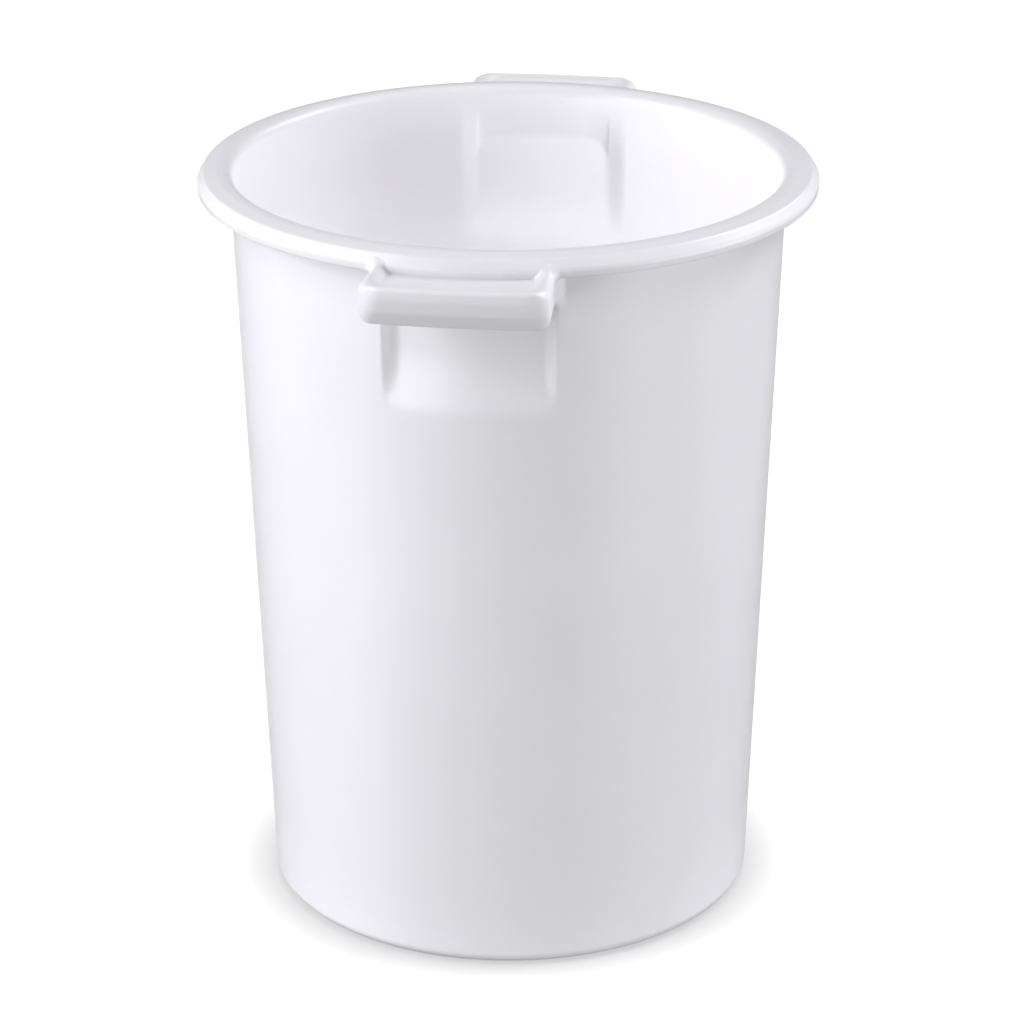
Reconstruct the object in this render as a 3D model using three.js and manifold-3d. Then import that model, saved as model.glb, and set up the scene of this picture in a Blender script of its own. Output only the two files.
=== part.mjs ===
// Tapered white plastic barrel with a turned-down rim and two moulded hand
// grips, each with a finger recess pressed into the wall below it.
// Millimetres, +Z up. The origin is on the floor, under the centre of the base.
// +X is to the right of someone facing the front grip, +Y points to the rear grip.

import * as THREE from 'three';
import { mergeVertices } from 'three/addons/utils/BufferGeometryUtils.js';
import Module from 'manifold-3d';

const wasm = await Module();
wasm.setup();

// ---- driving dimensions -------------------------------------------------
const SEGMENTS = 72;            // facets around the barrel
const GAP = 0.3;                // clearance kept between neighbouring pieces
const WALL_T = 3.0;             // wall thickness

const WALL_R0 = 168.8;          // outer wall radius, extrapolated to the floor
const WALL_SLOPE = 0.0378;      // growth of the outer wall radius per mm of height
const HEEL_R = 9.0;             // rounded heel between wall and base
const WALL_TOP = 506.7;         // where the wall meets the rim collar

const RIM_R = 210.0;            // outermost radius of the rim
const RIM_TOP = 521.4;          // crest of the rim, the overall height
const SKIRT_BOTTOM = 507.5;     // lower edge of the turned-down skirt

const FOOT_R = 140.0;           // inner radius of the foot ring
const FLOOR_LIFT = 2.5;         // how far the floor stands above the foot ring
const FLOOR_T = 3.5;            // floor thickness

const GRIP_HALF = 61.0;         // half the overall length of a hand grip
const EAR_T = 5.0;              // thickness of the closed end of a grip
const GRIP_REACH = 250.6;       // farthest face of the grip from the barrel axis
const GRIP_TOP = 513.0;         // top of the grip's outer edge
const GRIP_BOTTOM = 485.5;      // lower edge of the turned-down lip
const WEB_T = 3.5;              // thickness of the grip's top web
const WEB_TOP_IN = 507.2;       // top of the web where it passes under the skirt
const WEB_TOP_OUT = 510.0;      // top of the web where it meets the lip
const EAR_TOP = 516.0;          // top of the grip's ends where they meet the skirt

const REC_HALF = 57.5;          // half width of the finger recess at the wall
const REC_SIDE = 6.0;           // width of its sloped side walls
const REC_TOP = 506.0;          // upper end of its sloped roof
const REC_ROOF = 18.0;          // height of the roof
const REC_FOOT = 407.0;         // lower end, where it runs out into the wall
const REC_RAMP = 24.0;          // height of the lower run-out
const REC_CORNER = 17.0;        // rounding of the panel's upper corners
const REC_DEEP = 10.5;          // depth at the top of the panel
const REC_SHALLOW = 7.5;        // depth just above the run-out
const WIN_HALF = 64.0;          // half width of the wall region that holds the recess
const WIN_BOTTOM = 404.0;       // lower edge of that region

const wallR = (z) => WALL_R0 + WALL_SLOPE * z;

// ---- helpers ------------------------------------------------------------
function closed(geometry) {
  const g = geometry.index ? geometry.toNonIndexed() : geometry.clone();
  for (const name of Object.keys(g.attributes)) {
    if (name !== 'position') g.deleteAttribute(name);
  }
  let m = mergeVertices(g, 1e-4);
  const p = m.attributes.position, kept = [];
  let volume = 0;
  const a = new THREE.Vector3(), b = new THREE.Vector3(), c = new THREE.Vector3();
  for (let i = 0; i < m.index.count; i += 3) {
    const [i0, i1, i2] = [m.index.getX(i), m.index.getX(i + 1), m.index.getX(i + 2)];
    if (i0 === i1 || i1 === i2 || i2 === i0) continue;
    kept.push(i0, i1, i2);
    a.fromBufferAttribute(p, i0); b.fromBufferAttribute(p, i1); c.fromBufferAttribute(p, i2);
    volume += a.dot(b.clone().cross(c));
  }
  if (volume < 0) for (let i = 0; i < kept.length; i += 3) {
    const t = kept[i + 1]; kept[i + 1] = kept[i + 2]; kept[i + 2] = t;
  }
  m.setIndex(kept);
  return m;
}

function solid(geometry) {
  const m = closed(geometry);
  return new wasm.Manifold(new wasm.Mesh({
    numProp: 3,
    vertProperties: new Float32Array(m.attributes.position.array),
    triVerts: new Uint32Array(m.index.array),
  }));
}

function surface(manifold) {
  const mesh = manifold.getMesh();
  const g = new THREE.BufferGeometry();
  const n = mesh.vertProperties.length / mesh.numProp;
  const xyz = new Float32Array(n * 3);
  for (let i = 0; i < n; i++) for (let k = 0; k < 3; k++) {
    xyz[3 * i + k] = mesh.vertProperties[i * mesh.numProp + k];
  }
  g.setAttribute('position', new THREE.BufferAttribute(xyz, 3));
  g.setIndex(new THREE.BufferAttribute(new Uint32Array(mesh.triVerts), 1));
  return g;
}

// A body turned about the barrel's axis from (radius, height) points.
function turned(points, close) {
  const list = points.map(([r, z]) => new THREE.Vector2(r, z));
  if (close) list.push(list[0].clone());
  const g = new THREE.LatheGeometry(list, SEGMENTS);
  g.rotateX(Math.PI / 2);
  return g;
}

// A straight bar along X from (reach, height) points, on the +Y side.
function bar(points, x0, x1) {
  const shape = new THREE.Shape(points.map(([n, z]) => new THREE.Vector2(n, z)));
  const g = new THREE.ExtrudeGeometry(shape, { depth: x1 - x0, bevelEnabled: false, steps: 1 });
  g.applyMatrix4(new THREE.Matrix4().set(0, 0, 1, x0, 1, 0, 0, 0, 0, 1, 0, 0, 0, 0, 0, 1));
  return g;
}

const plastic = () => new THREE.MeshStandardMaterial({ color: 0xeef1f5, roughness: 0.42, metalness: 0 });

function piece(name, geometry, parent) {
  const mesh = new THREE.Mesh(closed(geometry), plastic());
  mesh.name = name;
  parent.add(mesh);
  return mesh;
}

const barrel = new THREE.Group();

// ---- base: raised floor, foot ring and rounded heel -----------------------
{
  const heelZ = HEEL_R, heelC = wallR(heelZ) - HEEL_R, inner = HEEL_R - WALL_T;
  const top = FLOOR_LIFT + FLOOR_T;
  const pts = [[0, FLOOR_LIFT], [FOOT_R - 4, FLOOR_LIFT], [FOOT_R, 0]];
  for (let i = 0; i <= 5; i++) {
    const a = (i / 5) * Math.PI / 2;
    pts.push([heelC + HEEL_R * Math.sin(a), HEEL_R - HEEL_R * Math.cos(a)]);
  }
  for (let i = 5; i >= 0; i--) {
    const a = (i / 5) * Math.PI / 2;
    pts.push([heelC + inner * Math.sin(a), HEEL_R - inner * Math.cos(a)]);
  }
  pts.push([FOOT_R + 1, HEEL_R - inner + 0.4], [FOOT_R - 3, top], [0, top]);
  piece('floor_pan', turned(pts, false), barrel);
}

// ---- side wall, open where the two finger recesses are set in --------------
{
  const z0 = HEEL_R + GAP, z1 = WALL_TOP;
  const shell = solid(turned([
    [wallR(z0) - WALL_T, z0], [wallR(z0), z0], [wallR(z1), z1], [wallR(z1) - WALL_T, z1],
  ], true));
  const half = WIN_HALF + GAP, low = WIN_BOTTOM - GAP;
  const cutter = new THREE.BoxGeometry(2 * half, 600, 200);
  cutter.translate(0, 0, low + 100);
  piece('side_wall', surface(shell.subtract(solid(cutter))), barrel);
}

// ---- rim: inner collar, lid seat, sloped top and turned-down skirt ---------
piece('rim', turned([
  [185.2, WALL_TOP + GAP], [185.4, 514.0], [187.2, 518.4], [189.8, 520.7], [192.6, RIM_TOP],
  [196.0, RIM_TOP], [204.4, 519.8], [206.6, 518.4], [209.2, 514.9], [RIM_R, 512.6],
  [209.5, 508.4], [208.6, SKIRT_BOTTOM], [206.4, SKIRT_BOTTOM], [206.0, 512.2], [204.2, 514.6],
  [193.4, 517.0], [191.2, 515.2], [189.0, WALL_TOP + GAP],
], true), barrel);

// ---- finger recess: wall region pressed inwards below the grip -------------
const clamp = (t, top = 1) => Math.min(top, Math.max(0, t));
const softMin = (a, b, k) => {
  const h = Math.max(k - Math.abs(a - b), 0) / k;
  return Math.min(a, b) - h * h * k / 4;
};
const softMax = (a, b, k) => -softMin(-a, -b, k);

// Depth of the recess at (x, z); on the inner face (inner = 1) its sides lie wider apart.
function recess(x, z, inner) {
  const ax = Math.abs(x), side = REC_SIDE + 3 * inner, half = REC_HALF + 3.2 * inner;
  const across = softMin(softMax((half - ax) / side - 0.12, 0, 0.24), 1, 0.7 - 0.42 * inner);
  const bent = clamp(ax - (half - side - REC_CORNER), 0.97 * REC_CORNER);
  const panelTop = REC_TOP - REC_ROOF - (REC_CORNER - Math.sqrt(REC_CORNER ** 2 - bent ** 2));
  const top = REC_TOP + 0.6 * inner;
  const roof = softMin(clamp((top - z) / (top - panelTop), 4) ** 1.7, 1, 0.16);
  const foot = softMin(softMax((z - REC_FOOT) / REC_RAMP - 0.12, 0, 0.24), 1, 0.5);
  const up = clamp((z - (REC_FOOT + REC_RAMP)) / (REC_TOP - REC_ROOF - REC_FOOT - REC_RAMP));
  return (REC_SHALLOW + (REC_DEEP - REC_SHALLOW) * up) * across * roof * foot;
}

function recessBody() {
  const half = [0, 20, 34, 40, 44, 46.5, 49, 51.5, 54, 56.5, 59, 61.5, WIN_HALF];
  const xs = [...half.slice(1).reverse().map((v) => -v), ...half];
  const zs = [WIN_BOTTOM, 408, 411, 414, 417, 420, 424, 428, 433, 446, 466, 478, 484, 487, 490, 494, 498, 502, WALL_TOP];
  const nx = xs.length, nz = zs.length, xyz = [], tri = [];
  for (const inside of [0, 1]) for (const z of zs) for (const x of xs) {
    const r = wallR(z) - inside * WALL_T;
    xyz.push(x, Math.sqrt(r * r - x * x) - recess(x, z, inside), z);
  }
  const at = (s, j, i) => s * nx * nz + j * nx + i;
  const quad = (a, b, c, d) => tri.push(a, b, c, a, c, d);
  for (let j = 0; j + 1 < nz; j++) for (let i = 0; i + 1 < nx; i++) {
    quad(at(0, j, i), at(0, j + 1, i), at(0, j + 1, i + 1), at(0, j, i + 1));
    quad(at(1, j, i), at(1, j, i + 1), at(1, j + 1, i + 1), at(1, j + 1, i));
  }
  for (let i = 0; i + 1 < nx; i++) {
    quad(at(0, 0, i), at(0, 0, i + 1), at(1, 0, i + 1), at(1, 0, i));
    quad(at(0, nz - 1, i), at(1, nz - 1, i), at(1, nz - 1, i + 1), at(0, nz - 1, i + 1));
  }
  for (let j = 0; j + 1 < nz; j++) {
    quad(at(0, j, 0), at(1, j, 0), at(1, j + 1, 0), at(0, j + 1, 0));
    quad(at(0, j, nx - 1), at(0, j + 1, nx - 1), at(1, j + 1, nx - 1), at(1, j, nx - 1));
  }
  const g = new THREE.BufferGeometry();
  g.setAttribute('position', new THREE.BufferAttribute(new Float32Array(xyz), 3));
  g.setIndex(tri);
  return g;
}

// ---- hand grip: top web, turned-down lip and two closed ends ---------------
// Outer outline of the lip from the grip's top edge down to its lower edge.
const lipFace = [
  [246.2, 512.4], [246.9, GRIP_TOP], [248.9, 512.9], [250.1, 511.8], [GRIP_REACH, 509.6],
  [250.0, 504.8], [248.6, 500.0], [246.6, 495.2], [243.9, 490.4], [241.2, 486.0], [239.8, GRIP_BOTTOM],
];
const lipBack = [[237.6, 486.4], [240.2, 491.0], [242.6, 496.0], [244.9, 502.0], [246.2, 506.0]];

// Space taken by the wall and by the rim, with clearance, to trim the grip to.
const wallSpace = () => solid(turned([
  [0, 380], [wallR(380) + GAP, 380], [wallR(WALL_TOP) + GAP, WALL_TOP], [189.0 + GAP, WALL_TOP + 0.1],
  [189.0 + GAP, 530], [0, 530],
], false));
const rimSpace = () => solid(turned([
  [180, SKIRT_BOTTOM - GAP], [RIM_R + GAP, SKIRT_BOTTOM - GAP], [RIM_R + GAP, 530], [180, 530],
], true));

const inside = GRIP_HALF - EAR_T - GAP;   // half length of the web and the lip

function webBody() {
  const g = bar([
    [170, WEB_TOP_IN - WEB_T], [211, WEB_TOP_IN - WEB_T], [245.9, WEB_TOP_OUT - WEB_T],
    [245.9, WEB_TOP_OUT], [211.5, WEB_TOP_IN], [170, WEB_TOP_IN],
  ], -inside, inside);
  return surface(solid(g).subtract(wallSpace()).subtract(rimSpace()));
}

const lipBody = () => bar([...lipFace, ...lipBack], -inside, inside);

function earBody(side) {
  const x0 = side < 0 ? -GRIP_HALF : GRIP_HALF - EAR_T;
  const g = bar([
    [165, 482.0], [200, 484.0], [239.8, GRIP_BOTTOM], ...lipFace.slice(1, -1).reverse(),
    [205, EAR_TOP], [165, EAR_TOP],
  ], x0, x0 + EAR_T);
  return surface(solid(g).subtract(wallSpace()).subtract(rimSpace()));
}

for (const [side, turn] of [['rear', 0], ['front', Math.PI]]) {
  const grip = new THREE.Group();
  grip.rotation.z = turn;
  barrel.add(grip);
  piece(`${side}_finger_recess`, recessBody(), grip);
  piece(`${side}_grip_web`, webBody(), grip);
  piece(`${side}_grip_lip`, lipBody(), grip);
  const mirrored = turn !== 0;
  piece(`${side}_left_ear`, earBody(mirrored ? 1 : -1), grip);
  piece(`${side}_right_ear`, earBody(mirrored ? -1 : 1), grip);
}

export default barrel;
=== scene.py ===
import math

import bmesh
import bpy
import numpy as np
from mathutils import Matrix, Vector


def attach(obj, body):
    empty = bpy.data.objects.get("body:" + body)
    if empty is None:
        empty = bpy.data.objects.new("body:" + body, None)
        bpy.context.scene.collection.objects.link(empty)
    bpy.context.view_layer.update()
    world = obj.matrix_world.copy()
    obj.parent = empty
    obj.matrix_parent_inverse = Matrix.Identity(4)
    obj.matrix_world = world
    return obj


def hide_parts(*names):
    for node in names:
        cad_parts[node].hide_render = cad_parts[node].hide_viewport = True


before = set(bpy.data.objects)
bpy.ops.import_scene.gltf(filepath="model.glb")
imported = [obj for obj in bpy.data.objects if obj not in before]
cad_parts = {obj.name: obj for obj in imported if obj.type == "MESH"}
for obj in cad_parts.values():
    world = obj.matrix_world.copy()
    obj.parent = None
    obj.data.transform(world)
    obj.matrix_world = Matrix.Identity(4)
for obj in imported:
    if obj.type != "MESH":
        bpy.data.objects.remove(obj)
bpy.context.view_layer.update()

# ---------------------------------------------------------------------------
# Dimensions in millimetres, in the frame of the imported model.
# ---------------------------------------------------------------------------
WALL_T = 3.0
WALL_R0, WALL_SLOPE = 168.8, 0.0378
HEEL_R, HEEL_Z = 9.0, 9.0
WALL_TOP = 507.0

REC_HALF, REC_SIDE = 57.5, 7.0
REC_TOP, REC_ROOF = 506.0, 18.0
REC_TOP_IN = 519.0              # inside, the slope starts at the rim
REC_FOOT, REC_RAMP = 407.0, 24.0
REC_CORNER = 17.0
REC_DEEP, REC_SHALLOW = 9.2, 6.8
WIN_LOW = 404.0

GRIP_HALF, EAR_T = 61.0, 5.0
GRIP_REACH, GRIP_BOW = 250.6, 2.7
EAR_TOP = 513.0

COLS = 288                       # facets round the barrel
STEP = 360.0 / COLS
WIN_COLS = 16                    # half width of a recess window, in columns


def wall_r(z):
    return WALL_R0 + WALL_SLOPE * z


# ---------------------------------------------------------------------------
# Mesh building
# ---------------------------------------------------------------------------
class Builder:
    """Collects vertices with their surface normals, and quads or triangles."""

    def __init__(self):
        self.p, self.n, self.f, self.count = [], [], [], 0

    def points(self, p, n):
        p = np.asarray(p, float).reshape(-1, 3)
        n = np.asarray(n, float).reshape(-1, 3)
        n = n / np.maximum(np.linalg.norm(n, axis=1, keepdims=True), 1e-12)
        first = self.count
        self.p.append(p)
        self.n.append(n)
        self.count += len(p)
        return first

    def faces(self, f):
        f = np.asarray(f, int)
        if len(f):
            self.f.append(f)

    def grid(self, p, n, wrap=False, keep=None):
        """A sheet of quads over p[rows, cols], facing along n."""
        rows, cols = p.shape[:2]
        first = self.points(p, n)
        ids = first + np.arange(rows * cols).reshape(rows, cols)
        nxt = np.roll(ids, -1, axis=1) if wrap else ids[:, 1:]
        cur = ids if wrap else ids[:, :-1]
        quads = np.stack([cur[:-1], nxt[:-1], nxt[1:], cur[1:]], -1)
        if keep is not None:
            quads = quads[keep]
        quads = quads.reshape(-1, 4)
        self.faces(self._turned(quads))

    def _turned(self, quads):
        """The quads, with the winding that agrees with their normals."""
        p, n = np.concatenate(self.p), np.concatenate(self.n)
        a, b, c, d = (p[quads[:, k]] for k in range(4))
        face = np.cross(c - a, d - b)
        flip = np.einsum("ij,ij->i", face, n[quads].sum(1)) < 0
        out = quads.copy()
        out[flip] = quads[flip][:, ::-1]
        return out

    def strip(self, a, b, n):
        """A band of quads between two rows of points, with flat normals n."""
        a, b = np.asarray(a, float), np.asarray(b, float)
        n = np.broadcast_to(np.asarray(n, float), a.shape)
        self.grid(np.stack([a, b]), np.stack([n, n]))

    def build(self, name):
        return mesh_object(name, np.concatenate(self.p), self.f, np.concatenate(self.n))


def mesh_object(name, p, face_sets, normals):
    """A smooth-shaded mesh object from points in millimetres, with the surface's own normals."""
    me = bpy.data.meshes.new(name)
    sizes = np.concatenate([np.full(len(f), f.shape[1]) for f in face_sets])
    loops = np.concatenate([f.reshape(-1) for f in face_sets])
    me.vertices.add(len(p))
    me.vertices.foreach_set("co", (p * 0.001).astype(np.float32).reshape(-1))
    me.loops.add(len(loops))
    me.loops.foreach_set("vertex_index", loops.astype(np.int32))
    me.polygons.add(len(sizes))
    me.polygons.foreach_set("loop_start", np.concatenate([[0], np.cumsum(sizes)[:-1]]).astype(np.int32))
    me.update(calc_edges=True)
    me.polygons.foreach_set("use_smooth", np.ones(len(sizes), bool))
    me.validate()
    me.normals_split_custom_set_from_vertices(normals.astype(np.float32))
    o = bpy.data.objects.new(name, me)
    bpy.context.scene.collection.objects.link(o)
    return o


def rounded(corners, step=9.0, closed=True):
    """A counter-clockwise outline of (a, b, fillet radius) corners as points and outward normals.
    A corner with no radius appears twice, once with each side's normal."""
    pts = [np.array(c[:2], float) for c in corners]
    rad = [c[2] for c in corners]
    m = len(pts)
    out_p, out_n = [], []
    for i in range(m):
        if not closed and i in (0, m - 1):
            d = pts[1] - pts[0] if i == 0 else pts[-1] - pts[-2]
            d /= np.linalg.norm(d)
            out_p.append(pts[i])
            out_n.append(np.array([d[1], -d[0]]))
            continue
        d0 = pts[i] - pts[i - 1]
        d1 = pts[(i + 1) % m] - pts[i]
        d0 /= np.linalg.norm(d0)
        d1 /= np.linalg.norm(d1)
        n0, n1 = np.array([d0[1], -d0[0]]), np.array([d1[1], -d1[0]])
        turn = math.atan2(d0[0] * d1[1] - d0[1] * d1[0], d0 @ d1)
        if rad[i] <= 0 or abs(turn) < 1e-6:
            out_p += [pts[i], pts[i]]
            out_n += [n0, n1]
            continue
        back = rad[i] * math.tan(abs(turn) / 2)
        s = 1 if turn > 0 else -1
        centre = pts[i] - d0 * back - s * n0 * rad[i]
        k = max(2, int(math.ceil(math.degrees(abs(turn)) / step)))
        for j in range(k + 1):
            a = turn * j / k
            n = np.array([n0[0] * math.cos(a) - n0[1] * math.sin(a), n0[0] * math.sin(a) + n0[1] * math.cos(a)])
            out_p.append(centre + s * n * rad[i])
            out_n.append(n)
    return np.array(out_p), np.array(out_n)


def lathe(b, p, n, closed, ang=None, bend=None):
    """Turns an outline of (radius, height) points about the axis, and bends the result if asked."""
    ang = np.radians(np.arange(COLS) * STEP) if ang is None else ang
    cols = len(ang)
    c, s = np.cos(ang), np.sin(ang)

    def ring(k):
        pos = np.stack([p[k, 0] * c, p[k, 0] * s, np.full(cols, p[k, 1])], -1)
        nor = np.stack([n[k, 0] * c, n[k, 0] * s, np.full(cols, n[k, 1])], -1)
        return bend(pos, nor) if bend else (pos, nor)

    last = len(p) if closed else len(p) - 1
    for k in range(last):
        j = (k + 1) % len(p)
        if np.linalg.norm(p[k] - p[j]) < 1e-6:
            continue
        if p[k, 0] < 1e-9 or p[j, 0] < 1e-9:
            tip, edge = (k, j) if p[k, 0] < 1e-9 else (j, k)
            pos, nor = ring(edge)
            nz = np.array([0, 0, 1.0 if n[edge, 1] > 0 else -1.0])
            first = b.points(pos, np.broadcast_to(nz, pos.shape))
            mid = b.points([[0, 0, p[tip, 1]]], [nz])
            i = np.arange(cols)
            tri = np.stack([np.full(cols, mid), first + i, first + (i + 1) % cols], -1)
            b.faces(tri if nz[2] > 0 else tri[:, ::-1])
            continue
        (p0, n0), (p1, n1) = ring(k), ring(j)
        b.grid(np.stack([p0, p1]), np.stack([n0, n1]), wrap=True)


# ---------------------------------------------------------------------------
# Finger recess: how far the wall is pressed in at (x, z)
# ---------------------------------------------------------------------------
def ease(t):
    t = np.clip(t, 0, 1)
    return t * t * (3 - 2 * t)


def recess(x, z, inner):
    """Depth at (x, z) on the outside (inner 0) or the inside (inner 1) of the wall."""
    ax = np.abs(x)
    side, half = REC_SIDE + 4.5 * inner, REC_HALF + 2.6 * inner
    top = REC_TOP + (REC_TOP_IN - REC_TOP) * inner
    # straight sloping sides, with a broad hollow against the panel on the outside
    across = smooth_min(smooth_max((half - ax) / side - 0.12, 0.0, 0.24), 1.0, 0.7 - 0.42 * inner)
    # a scooped slope from the rim down to the panel, whose upper corners are rounded
    bent = np.clip(ax - (half - side - REC_CORNER), 0, 0.97 * REC_CORNER)
    panel_top = REC_TOP - REC_ROOF - (REC_CORNER - np.sqrt(REC_CORNER**2 - bent**2))
    down = np.clip((top - z) / (top - panel_top), 0, 4)
    roof = smooth_min(down**1.7, 1.0, 0.16)
    foot = smooth_min(smooth_max((z - REC_FOOT) / REC_RAMP - 0.12, 0.0, 0.24), 1.0, 0.5)
    up = np.clip((z - (REC_FOOT + REC_RAMP)) / (REC_TOP - REC_ROOF - REC_FOOT - REC_RAMP), 0, 1)
    return (REC_SHALLOW + (REC_DEEP - REC_SHALLOW) * up) * (1 - 0.08 * inner) * across * roof * foot


def recess_point(a, z, inner):
    """A point of the rear recess at angle a from +Y and height z."""
    r = wall_r(z) - inner * WALL_T
    x, y = r * np.sin(a), r * np.cos(a)
    return np.stack([x, y - recess(x, z, inner), z], -1)


def recess_sheet(a, z, inner):
    p = recess_point(a, z, inner)
    da = (recess_point(a + 1e-3, z, inner) - recess_point(a - 1e-3, z, inner)) / 2e-3
    dz = (recess_point(a, z + 0.2, inner) - recess_point(a, z - 0.2, inner)) / 0.4
    n = np.cross(dz, da)
    n /= np.linalg.norm(n, axis=-1, keepdims=True)
    out = np.sign(n[..., 1:2]) * (1 if not inner else -1)
    return p, n * np.where(out == 0, 1, out)


def half_turn(p):
    return p * np.array([-1.0, -1.0, 1.0])


# ---------------------------------------------------------------------------
# Pieces turned about the axis
# ---------------------------------------------------------------------------
made = {}


def add_floor_pan():
    b = Builder()
    slope = WALL_SLOPE
    inner_r0 = WALL_R0 - WALL_T
    # underside and heel, then the inside, from the axis out and back
    outline = [
        (0.0, 2.5, 0), (136.6, 2.5, 2.2), (139.6, 0.0, 1.4), (WALL_R0, 0.0, HEEL_R),
        (wall_r(HEEL_Z), HEEL_Z, 0), (wall_r(HEEL_Z) - WALL_T, HEEL_Z, 0),
        (inner_r0 + slope * 3.0, 3.0, HEEL_R - WALL_T - 0.6), (142.2, 3.4, 3.0), (138.6, 6.0, 3.0), (0.0, 6.0, 0),
    ]
    p, n = rounded(outline, step=6.0, closed=False)
    lathe(b, p, n, closed=False)
    return b.build("floor_pan_skin")


RIM_OUTLINE = [
    (184.97, WALL_TOP, 0), (189.0, WALL_TOP, 0), (191.6, 517.2, 2.6), (204.6, 514.4, 2.2), (206.2, 507.5, 0.9),
    (209.4, 507.5, 1.1), (210.15, 513.2, 5.0), (205.6, 519.6, 2.8), (196.5, 521.4, 14.0), (185.5, 521.4, 7.4),
]


def rim_angles():
    """The wall's columns, four times as fine over the recesses."""
    col = np.arange(COLS)
    quarter, out = COLS // 4, []
    for k in col:
        fine = any(mid - WIN_COLS <= k < mid + WIN_COLS for mid in (quarter, 3 * quarter))
        out += [(k + f / 4) * STEP for f in range(4)] if fine else [k * STEP]
    return np.radians(out)


def press_collar(p, n):
    """Carries the slope of the recesses up the inside of the rim."""
    x, y, z = p[:, 0], p[:, 1], p[:, 2]
    r = np.hypot(x, y)
    on = (r < 188.4) & (z < 520.5) & (np.abs(x) < 75)
    side = np.sign(y)
    d = np.where(on, recess(x, z, 1.0), 0)
    dx = np.where(on, (recess(x + 0.2, z, 1.0) - recess(x - 0.2, z, 1.0)) / 0.4, 0)
    dz = np.where(on, (recess(x, z + 0.2, 1.0) - recess(x, z - 0.2, 1.0)) / 0.4, 0)
    q = np.stack([x, y - side * d, z], -1)
    m = np.stack([n[:, 0] + side * dx * n[:, 1], n[:, 1], n[:, 2] + side * dz * n[:, 1]], -1)
    return q, m / np.linalg.norm(m, axis=1, keepdims=True)


def add_rim():
    b = Builder()
    p, n = rounded(RIM_OUTLINE, step=7.0)
    # extra rings up the inside, where the recesses press it in
    q, m = [], []
    for k in range(len(p)):
        q.append(p[k])
        m.append(n[k])
        j = (k + 1) % len(p)
        if p[k, 0] < 188.4 and p[j, 0] < 188.4 and abs(p[j, 1] - p[k, 1]) > 1.6:
            parts = int(abs(p[j, 1] - p[k, 1]) / 0.9) + 1
            for f in np.arange(1, parts) / parts:
                q.append(p[k] * (1 - f) + p[j] * f)
                m.append(n[k] * (1 - f) + n[j] * f)
    lathe(b, np.array(q), np.array(m), closed=True, ang=rim_angles(), bend=press_collar)
    return b.build("rim_skin")


def add_side_wall():
    b = Builder()
    ang = np.radians(np.arange(COLS) * STEP)
    quarter = COLS // 4
    col = np.arange(COLS)
    in_window = np.zeros(COLS, bool)        # quad columns that a recess takes
    for mid in (quarter, 3 * quarter):
        in_window |= (col >= mid - WIN_COLS) & (col < mid + WIN_COLS)
    zs = np.concatenate([np.linspace(HEEL_Z, WIN_LOW, 22), np.linspace(WIN_LOW, WALL_TOP, 8)[1:]])
    low = 21                                 # quad rows under the windows
    keep = np.ones((len(zs) - 1, COLS), bool)
    keep[low:, in_window] = False
    tilt = np.array([math.cos(math.atan(WALL_SLOPE)), math.sin(math.atan(WALL_SLOPE))])
    c, s = np.cos(ang), np.sin(ang)

    def sheet(inner):
        r = wall_r(zs)[:, None] - inner * WALL_T
        p = np.stack([r * c, r * s, np.broadcast_to(zs[:, None], (len(zs), COLS))], -1)
        n = np.stack([tilt[0] * c, tilt[0] * s, np.full(COLS, -tilt[1])], -1)
        return p, np.broadcast_to(n, p.shape) * (-1 if inner else 1)

    po, no = sheet(0)
    pi, ni = sheet(1)
    b.grid(po, no, wrap=True, keep=keep)
    b.grid(pi, ni, wrap=True, keep=keep)
    ring = np.r_[0:COLS, 0]
    b.strip(po[0, ring], pi[0, ring], (0, 0, -1))
    for mid in (quarter, 3 * quarter):
        left, right = mid - WIN_COLS, mid + WIN_COLS
        span = np.arange(left, right + 1)
        b.strip(po[low, span], pi[low, span], (0, 0, 1))
        for k, sign in ((left, 1), (right, -1)):
            n = sign * np.array([-s[k], c[k], 0])
            b.strip(po[low:, k], pi[low:, k], n)
        other = np.arange(right, right + COLS // 2 - 2 * WIN_COLS + 1) % COLS
        b.strip(po[-1, other], pi[-1, other], (0, 0, 1))
    return b.build("side_wall_skin")


def add_recess(side):
    b = Builder()
    turn = half_turn if side == "front" else (lambda p: p)
    fine = 4
    a = np.radians(np.linspace(-WIN_COLS * STEP, WIN_COLS * STEP, 2 * WIN_COLS * fine + 1))
    z = np.concatenate([np.linspace(WIN_LOW, 432, 25), np.linspace(432, 476, 23)[1:], np.linspace(476, WALL_TOP, 29)[1:]])
    aa, zz = np.meshgrid(a, z)
    po, no = recess_sheet(aa, zz, 0)
    pi, ni = recess_sheet(aa, zz, 1)
    # the lower edge lies on the wall's facets
    for p in (po, pi):
        for k in range(1, len(a) - 1):
            if k % fine:
                lo, f = k - k % fine, (k % fine) / fine
                p[0, k] = p[0, lo] * (1 - f) + p[0, lo + fine] * f
    b.grid(turn(po), turn(no))
    b.grid(turn(pi), turn(ni))
    b.strip(turn(po[0]), turn(pi[0]), (0, 0, -1))
    b.strip(turn(po[-1]), turn(pi[-1]), (0, 0, 1))
    for k, sign in ((0, -1), (-1, 1)):
        n = turn(np.array([sign * math.cos(a[k]), -sign * math.sin(a[k]), 0]))
        b.strip(turn(po[:, k]), turn(pi[:, k]), n)
    return b.build(f"{side}_finger_recess_skin")


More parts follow.
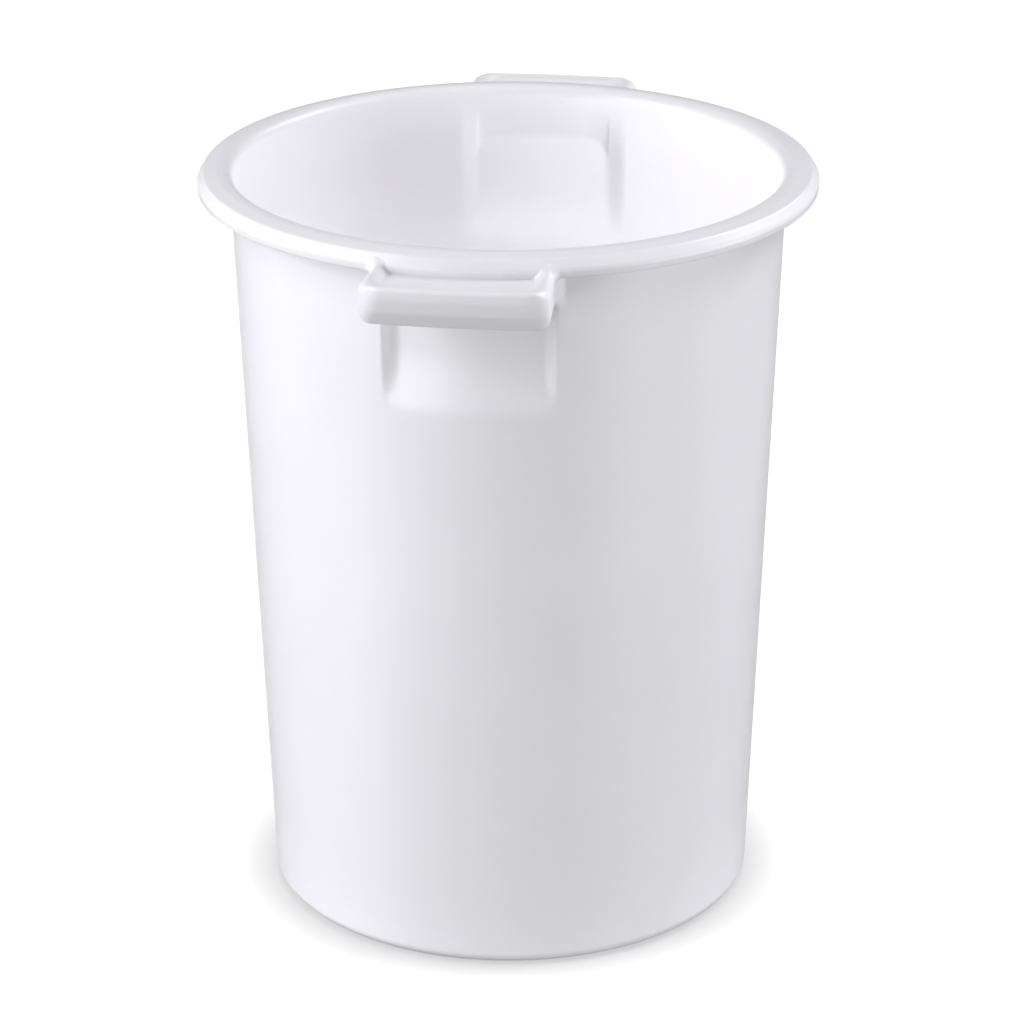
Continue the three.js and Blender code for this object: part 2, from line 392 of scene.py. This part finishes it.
# ---------------------------------------------------------------------------
# Hand grips: one blended surface, then cut into web, lip and ends
# ---------------------------------------------------------------------------
def polygon_distance(outline, a, b):
    """Signed distance from points (a, b) to a closed outline, negative inside."""
    a, b = np.asarray(a, float), np.asarray(b, float)
    best = np.full(a.shape, 1e9)
    sign = np.ones(a.shape)
    m = len(outline)
    for i in range(m):
        x0, y0 = outline[i]
        x1, y1 = outline[(i + 1) % m]
        ex, ey = x1 - x0, y1 - y0
        wx, wy = a - x0, b - y0
        t = np.clip((wx * ex + wy * ey) / (ex * ex + ey * ey), 0, 1)
        best = np.minimum(best, (wx - ex * t) ** 2 + (wy - ey * t) ** 2)
        up, down, left = b >= y0, b < y1, ex * wy > ey * wx
        sign = np.where((up & down & left) | (~up & ~down & ~left), -sign, sign)
    return sign * np.sqrt(best)


def distinct(p):
    keep = [k for k in range(len(p)) if np.linalg.norm(p[k] - p[k - 1]) > 1e-6]
    return p[keep]


LIP_FACE = [
    (238.8, 485.4, 0.9), (241.5, 485.8, 2.2), (247.0, 495.5, 14.0), (249.9, 505.0, 20.0), (250.65, 513.3, 2.7),
]
# outline of the grip seen from the end, and of the space under it
GRIP_SIDE = distinct(rounded([
    (160.0, 482.0, 0), (200.0, 484.0, 30.0), *LIP_FACE, (224.0, 513.2, 60.0), (203.4, EAR_TOP, 0.6), (201.4, 510.0, 0.6),
    (160.0, 510.0, 0),
], step=10.0)[0])
UNDER = distinct(rounded([
    (150.0, 460.0, 0), (236.4, 460.0, 0), (236.4, 486.2, 1.0), (242.7, 496.4, 14.0), (245.3, 503.0, 6.0),
    (244.6, 505.6, 1.6), (238.0, 504.4, 4.0), (150.0, 503.9, 0),
], step=10.0)[0])
POCKET_FLOOR, POCKET_END, POCKET_HALF, POCKET_CORNER = 507.6, 245.4, 49.0, 12.0
RIM_BODY = distinct(rounded(RIM_OUTLINE, step=15.0)[0])
CORNER = 16.0                     # rounding of the grip's outer corners, seen from above


def plan_distance(ax, y, half, end, corner):
    """Signed distance to a strip of half width `half` that ends at `end` with rounded corners."""
    qx, qy = ax - (half - corner), y - (end - corner)
    return np.minimum(np.maximum(qx, qy), 0) + np.hypot(np.maximum(qx, 0), np.maximum(qy, 0)) - corner


def smooth_min(a, b, k):
    h = np.maximum(k - np.abs(a - b), 0) / k
    return np.minimum(a, b) - h * h * k / 4


def smooth_max(a, b, k):
    return -smooth_min(-a, -b, k)


def grip_distance(x, y, z):
    """Signed distance of the rear grip, blended into the rim and the wall."""
    ax = np.abs(x)
    out = y + GRIP_BOW * (ax / GRIP_HALF) ** 2      # the grip bows outwards a little
    side, under = polygon_distance(GRIP_SIDE, out, z), polygon_distance(UNDER, out, z)
    near_end = ease((ax - 42.0) / 13.0)
    half = GRIP_HALF - 0.06 * np.clip(GRIP_REACH - y, 0, 50)
    grip = smooth_max(side, plan_distance(ax, out, half, GRIP_REACH + 2.5, CORNER), 3.0 + 4.5 * near_end)
    # the shallow pocket between the rim and the lip, hollowed softly at its ends
    lift = z - POCKET_FLOOR - 0.07 * np.maximum(np.hypot(x, y) - 209.0, 0)
    pocket = plan_distance(ax, out, POCKET_HALF + 0.75 * lift, POCKET_END + 0.25 * lift, POCKET_CORNER)
    pocket = smooth_max(pocket, -lift, 2.8 + 7.2 * near_end)
    grip = smooth_max(grip, -pocket, 1.3 + 2.8 * near_end)
    grip = smooth_max(grip, -smooth_max(under, ax - (GRIP_HALF - EAR_T), 5.0), 1.2)
    # the rim and the pressed-in wall that the grip runs into
    rad = np.hypot(x, y)
    rim = polygon_distance(RIM_BODY, rad, z)
    r_out = wall_r(z)
    y_out = np.sqrt(r_out**2 - x**2) - recess(x, z, 0.0)
    y_in = np.sqrt((r_out - WALL_T) ** 2 - x**2) - recess(x, z, 1.0)
    wall = np.maximum(np.maximum(y - y_out, y_in - y), z - 507.2)
    body = np.minimum(rim, wall)
    k = 0.9 + 5.1 * ease((ax - 42.0) / 11.0)
    whole = smooth_min(grip, body + 0.03, k)
    inside = y_out - 1.5 + 2.6 * ease((z - 503.5) / 3.5) - y
    return np.maximum(np.maximum(whole, inside), grip - 4.2)


def surface_net(values, origin, step):
    """Quads on the zero level of values[x, y, z]: one vertex in each cell that it crosses."""
    inside = values < 0
    shape = tuple(s - 1 for s in values.shape)
    total = np.zeros(shape + (3,))
    count = np.zeros(shape)
    corner = {}
    for i in (0, 1):
        for j in (0, 1):
            for k in (0, 1):
                corner[i, j, k] = (slice(i, i + shape[0]), slice(j, j + shape[1]), slice(k, k + shape[2]))
    for axis in range(3):
        for u in (0, 1):
            for v in (0, 1):
                lo = [u, v]
                lo.insert(axis, 0)
                hi = list(lo)
                hi[axis] = 1
                va, vb = values[corner[tuple(lo)]], values[corner[tuple(hi)]]
                cross = (va < 0) != (vb < 0)
                t = np.where(cross, va / np.where(cross, va - vb, 1), 0)
                for d in range(3):
                    total[..., d] += np.where(cross, t if d == axis else lo[d], 0)
                count += cross
    has = count > 0
    ids = np.full(shape, -1)
    ids[has] = np.arange(has.sum())
    cell = np.argwhere(has)
    points = origin + step * (cell + total[has] / count[has][:, None])
    quads = []
    for axis in range(3):
        a = [slice(1, -1)] * 3
        b = [slice(1, -1)] * 3
        a[axis], b[axis] = slice(0, -1), slice(1, None)
        cross = inside[tuple(a)] != inside[tuple(b)]
        first = inside[tuple(a)][cross]
        at = np.argwhere(cross) + 1
        at[:, axis] -= 1
        u, v = [d for d in range(3) if d != axis]
        corners = []
        for du, dv in ((-1, -1), (0, -1), (0, 0), (-1, 0)):
            w = at.copy()
            w[:, u] += du
            w[:, v] += dv
            corners.append(ids[w[:, 0], w[:, 1], w[:, 2]])
        q = np.stack(corners, -1)
        if axis == 1:
            q = q[:, ::-1]
        q[~first] = q[~first][:, ::-1]
        quads.append(q)
    quads = np.concatenate(quads)
    return points, quads[(quads >= 0).all(1)]


def grip_normal(p):
    e = 0.05
    g = np.stack([
        grip_distance(*(p + e * np.eye(3)[d]).T) - grip_distance(*(p - e * np.eye(3)[d]).T) for d in range(3)
    ], -1)
    return g / np.maximum(np.linalg.norm(g, axis=1, keepdims=True), 1e-9)


def grip_mesh(step):
    lo, hi = np.array([-66.0, 170.0, 478.0]), np.array([66.0, 255.0, 521.0])
    size = np.ceil((hi - lo) / step).astype(int) + 1
    xs, ys, zs = (lo[d] + step * np.arange(size[d]) for d in range(3))
    yy, zz = np.meshgrid(ys, zs, indexing="ij")
    values = np.empty(tuple(size))
    for i in range(0, size[0], 24):      # in slabs, to keep memory small
        sl = xs[i:i + 24]
        shape = (len(sl), *yy.shape)
        values[i:i + 24] = grip_distance(*(np.broadcast_to(v, shape) for v in (sl[:, None, None], yy[None], zz[None])))
    p, q = surface_net(values, lo, step)
    for _ in range(4):                    # pull the points onto the surface
        d = grip_distance(*p.T)
        p = p - np.clip(d, -0.4, 0.4)[:, None] * grip_normal(p)
    return p, q


def cut(p, q, planes):
    """The part of a closed mesh on the inner side of each (point, normal) plane, closed again."""
    bm = bmesh.new()
    for v in p:
        bm.verts.new(v)
    bm.verts.ensure_lookup_table()
    for f in q:
        bm.faces.new([bm.verts[k] for k in f])
    for co, no in planes:
        bmesh.ops.bisect_plane(bm, geom=bm.verts[:] + bm.edges[:] + bm.faces[:], dist=1e-4, plane_co=co, plane_no=no, clear_outer=True)
        edges = [e for e in bm.edges if e.is_boundary]
        bmesh.ops.triangle_fill(bm, use_beauty=True, use_dissolve=False, edges=edges)
    bmesh.ops.recalc_face_normals(bm, faces=bm.faces[:])
    bm.verts.index_update()
    points = np.array([v.co[:] for v in bm.verts])
    groups = {}
    for f in bm.faces:
        groups.setdefault(len(f.verts), []).append([v.index for v in f.verts])
    bm.free()
    return points, [np.array(g) for _, g in sorted(groups.items())]


def add_grips():
    p, q = grip_mesh(0.9)
    end, front = GRIP_HALF - EAR_T - 0.15, 236.2
    cuts = {
        "grip_web": [((end, 0, 0), (1, 0, 0)), ((-end, 0, 0), (-1, 0, 0)), ((0, front, 0), (0, 1, 0))],
        "grip_lip": [((end, 0, 0), (1, 0, 0)), ((-end, 0, 0), (-1, 0, 0)), ((0, front, 0), (0, -1, 0))],
        "left_ear": [((-end, 0, 0), (1, 0, 0))],
        "right_ear": [((end, 0, 0), (-1, 0, 0))],
    }
    parts = {}
    for name, planes in cuts.items():
        pts, faces = cut(p, q, planes)
        parts[name] = pts, faces, grip_normal(pts)
    for side in ("rear", "front"):
        for name, (pts, faces, nor) in parts.items():
            node = f"{side}_{name}"
            if side == "front":
                other = {"left_ear": "right_ear", "right_ear": "left_ear"}.get(name, name)
                node = f"{side}_{other}"
                made[node] = mesh_object(node + "_skin", half_turn(pts), faces, half_turn(nor))
            else:
                made[node] = mesh_object(node + "_skin", pts, faces, nor)


# ---------------------------------------------------------------------------
# Material: cool white moulded polyethylene
# ---------------------------------------------------------------------------
def polyethylene():
    m = bpy.data.materials.new("white_polyethylene")
    m.use_nodes = True
    nt = m.node_tree
    nt.nodes.clear()
    out = nt.nodes.new("ShaderNodeOutputMaterial")
    sh = nt.nodes.new("ShaderNodeBsdfPrincipled")
    nt.links.new(sh.outputs["BSDF"], out.inputs["Surface"])
    sh.inputs["IOR"].default_value = 1.5
    sh.inputs["Specular IOR Level"].default_value = 0.5
    co = nt.nodes.new("ShaderNodeTexCoord")

    def noise(scale, detail, rough=0.5, stretch=None):
        n = nt.nodes.new("ShaderNodeTexNoise")
        n.inputs["Scale"].default_value = scale
        n.inputs["Detail"].default_value = detail
        n.inputs["Roughness"].default_value = rough
        if stretch:
            mp = nt.nodes.new("ShaderNodeMapping")
            mp.inputs["Scale"].default_value = stretch
            nt.links.new(co.outputs["Object"], mp.inputs["Vector"])
            nt.links.new(mp.outputs["Vector"], n.inputs["Vector"])
        else:
            nt.links.new(co.outputs["Object"], n.inputs["Vector"])
        return n.outputs["Fac"]

    def ranged(fac, lo, hi, a=0.3, b=0.7):
        r = nt.nodes.new("ShaderNodeMapRange")
        r.inputs["From Min"].default_value = a
        r.inputs["From Max"].default_value = b
        r.inputs["To Min"].default_value = lo
        r.inputs["To Max"].default_value = hi
        nt.links.new(fac, r.inputs["Value"])
        return r.outputs["Result"]

    def math_node(op, a, b):
        n = nt.nodes.new("ShaderNodeMath")
        n.operation = op
        for k, v in enumerate((a, b)):
            if isinstance(v, (int, float)):
                n.inputs[k].default_value = v
            else:
                nt.links.new(v, n.inputs[k])
        return n.outputs[0]

    # colour: broad cloudiness of the resin, and a very fine speckle
    cloud = noise(7.0, 3.0)
    speck = noise(420.0, 2.0, 0.6)
    ramp = nt.nodes.new("ShaderNodeValToRGB")
    ramp.color_ramp.elements[0].position = 0.3
    ramp.color_ramp.elements[1].position = 0.7
    ramp.color_ramp.elements[0].color = (0.848, 0.846, 0.850, 1)
    ramp.color_ramp.elements[1].color = (0.884, 0.882, 0.886, 1)
    mixed = math_node("ADD", math_node("MULTIPLY", cloud, 0.7), math_node("MULTIPLY", speck, 0.3))
    nt.links.new(mixed, ramp.inputs["Fac"])
    nt.links.new(ramp.outputs["Color"], sh.inputs["Base Color"])

    # gloss: satin, uneven at hand scale and finely broken up
    patch = noise(34.0, 4.0, 0.55)
    fine = noise(260.0, 2.0)
    nt.links.new(ranged(math_node("ADD", math_node("MULTIPLY", patch, 0.65), math_node("MULTIPLY", fine, 0.35)), 0.29, 0.38), sh.inputs["Roughness"])

    # surface: fine moulded grain over a faint orange peel
    grain = noise(1100.0, 2.0, 0.6)
    peel = noise(150.0, 2.0)
    height = math_node("ADD", math_node("MULTIPLY", grain, 0.35), math_node("MULTIPLY", peel, 0.65))
    bump = nt.nodes.new("ShaderNodeBump")
    bump.inputs["Strength"].default_value = 0.16
    bump.inputs["Distance"].default_value = 0.0006
    nt.links.new(height, bump.inputs["Height"])
    nt.links.new(bump.outputs["Normal"], sh.inputs["Normal"])
    return m


# ---------------------------------------------------------------------------
# Make the pieces
# ---------------------------------------------------------------------------
made["floor_pan"] = add_floor_pan()
made["rim"] = add_rim()
made["side_wall"] = add_side_wall()
made["front_finger_recess"] = add_recess("front")
made["rear_finger_recess"] = add_recess("rear")
add_grips()

resin = polyethylene()
for node, o in made.items():
    o.data.materials.append(resin)
    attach(o, "root")
    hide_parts(node)

# ---------------------------------------------------------------------------
# Stage: pale floor, soft studio light, camera
# ---------------------------------------------------------------------------
scene = bpy.context.scene
scene.view_settings.view_transform = "Standard"
scene.view_settings.look = "None"


def add_floor():
    me = bpy.data.meshes.new("studio_floor")
    s = 9.0
    me.from_pydata([(-s, -s, 0), (s, -s, 0), (s, s, 0), (-s, s, 0)], [], [(0, 1, 2, 3)])
    o = bpy.data.objects.new("studio_floor", me)
    scene.collection.objects.link(o)
    m = bpy.data.materials.new("studio_floor")
    m.use_nodes = True
    sh = m.node_tree.nodes["Principled BSDF"]
    sh.inputs["Base Color"].default_value = (0.25, 0.25, 0.25, 1)
    sh.inputs["Roughness"].default_value = 1.0
    sh.inputs["Specular IOR Level"].default_value = 0.0
    sh.inputs["Emission Color"].default_value = (1, 1, 1, 1)
    sh.inputs["Emission Strength"].default_value = FLOOR_GLOW
    me.materials.append(m)
    o.visible_diffuse = False
    o.visible_glossy = False
    o.visible_transmission = False
    o.visible_shadow = False
    return o


FLOOR_GLOW, FLOOR_SUN = 0.50, 5.9
BOUNCE_WATTS = 0.07

# softboxes: (azimuth from the front towards +X, elevation, distance m, size m, watts)
LAMPS = {
    "key_left": (-60, 22, 3.2, 1.5, 38.6),
    "key_left_high": (-60, 42, 3.2, 1.5, 23.5),
    "side_left": (-90, 0, 3.2, 1.5, 26.4),
    "front_left": (-30, 0, 3.2, 1.5, 27.4),
    "front_right": (30, 0, 3.2, 1.5, 7.7),
    "fill_right": (60, 0, 3.2, 1.5, 18.2),
    "side_right": (90, 0, 3.2, 1.5, 30.8),
    "back_right_high": (120, 42, 3.2, 1.5, 54.0),
    "back": (190, -18, 3.2, 1.5, 30.0),
    "bounce_left": (-60, -20, 3.2, 1.5, 9.3),
    "bounce_right": (60, -20, 3.2, 1.5, 10.7),
    "glint_front": (18, 72, 3.2, 0.3, 2.4),
    "glint_left": (-95, 42, 3.2, 0.3, 2.4),
    "glint_right": (45, 45, 3.2, 0.3, 1.8),
    "glint_back": (150, 30, 3.2, 0.3, 2.4),
}
WORLD_UP, WORLD_DOWN = 0.228, 0.0
INNER_WATTS = 0.555              # stands for the light that comes through the pale wall


TINT = (0.960, 0.950, 1.0)       # the cool cast of the studio light
LIFT = 3 / sum(TINT)


def add_lamp(name, azimuth, elevation, distance, size, watts):
    d = bpy.data.lights.new(name, "AREA")
    d.shape = "SQUARE"
    d.size = size
    d.color = TINT
    d.energy = watts * LIFT
    o = bpy.data.objects.new(name, d)
    a, e = math.radians(azimuth), math.radians(elevation)
    back = np.array([math.sin(a) * math.cos(e), -math.cos(a) * math.cos(e), math.sin(e)])
    o.location = back * distance + np.array([0, 0, 0.3])
    o.rotation_euler = Vector(back).to_track_quat("Z", "Y").to_euler()
    o.visible_camera = False
    scene.collection.objects.link(o)
    return o


def add_world():
    w = bpy.data.worlds.new("studio")
    scene.world = w
    w.use_nodes = True
    nt = w.node_tree
    bg = nt.nodes["Background"]
    co = nt.nodes.new("ShaderNodeTexCoord")
    sep = nt.nodes.new("ShaderNodeSeparateXYZ")
    nt.links.new(co.outputs["Generated"], sep.inputs[0])
    r = nt.nodes.new("ShaderNodeMapRange")
    r.interpolation_type = "SMOOTHSTEP"
    r.inputs["From Min"].default_value = -0.25
    r.inputs["From Max"].default_value = 0.25
    r.inputs["To Min"].default_value = WORLD_DOWN
    r.inputs["To Max"].default_value = WORLD_UP
    nt.links.new(sep.outputs["Z"], r.inputs["Value"])
    nt.links.new(r.outputs["Result"], bg.inputs["Strength"])
    bg.inputs["Color"].default_value = (*(c * LIFT for c in TINT), 1)


def add_inner_glow():
    d = bpy.data.lights.new("inner_glow", "POINT")
    d.color = TINT
    d.energy = INNER_WATTS * LIFT
    d.shadow_soft_size = 0.1
    o = bpy.data.objects.new("inner_glow", d)
    o.location = (0, 0, 0.25)
    o.visible_camera = False
    scene.collection.objects.link(o)


def add_floor_light(floor):
    """A soft overhead light on the floor alone, shaded by the wall and the pan."""
    d = bpy.data.lights.new("floor_light", "SUN")
    d.angle = math.radians(6.6)
    d.energy = FLOOR_SUN
    o = bpy.data.objects.new("floor_light", d)
    o.location = (0, 0, 3.0)
    scene.collection.objects.link(o)
    lit = bpy.data.collections.new("floor_light_receivers")
    lit.objects.link(floor)
    o.light_linking.receiver_collection = lit
    shade = bpy.data.collections.new("floor_light_blockers")
    for node in ("side_wall", "floor_pan"):
        shade.objects.link(made[node])
    o.light_linking.blocker_collection = shade


def add_floor_bounce():
    """Light off the floor close to the foot of the barrel."""
    d = bpy.data.lights.new("floor_bounce", "AREA")
    d.shape = "DISK"
    d.size = 0.44
    d.color = TINT
    d.energy = BOUNCE_WATTS
    o = bpy.data.objects.new("floor_bounce", d)
    o.location = (0, 0, 0.0004)
    o.rotation_euler = (math.pi, 0, 0)
    o.visible_camera = False
    scene.collection.objects.link(o)


studio_floor = add_floor()
add_floor_bounce()
add_floor_light(studio_floor)
add_world()
add_inner_glow()
for name, spec in LAMPS.items():
    add_lamp(name, *spec)

AZIMUTH, PITCH, ROLL = math.radians(8.24), 0.384, 0.0036
CAM_D, CAM_H, FOCAL_PX, CENTRE_X = 2.5175, 1.2835, 3882.3, 509.3
cam = bpy.data.cameras.new("camera")
cam.sensor_width = 36.0
cam.lens = FOCAL_PX / 1024 * 36.0
cam.clip_start, cam.clip_end = 0.1, 60.0
cam_o = bpy.data.objects.new("camera", cam)
cam_o.location = (CAM_D * math.sin(AZIMUTH), -CAM_D * math.cos(AZIMUTH), CAM_H)
turn = AZIMUTH - math.atan((512 - CENTRE_X) / FOCAL_PX)
cam_o.rotation_euler = (
    Matrix.Rotation(turn, 3, "Z") @ Matrix.Rotation(math.pi / 2 - PITCH, 3, "X") @ Matrix.Rotation(-ROLL, 3, "Z")
).to_euler()
scene.collection.objects.link(cam_o)
scene.camera = cam_o
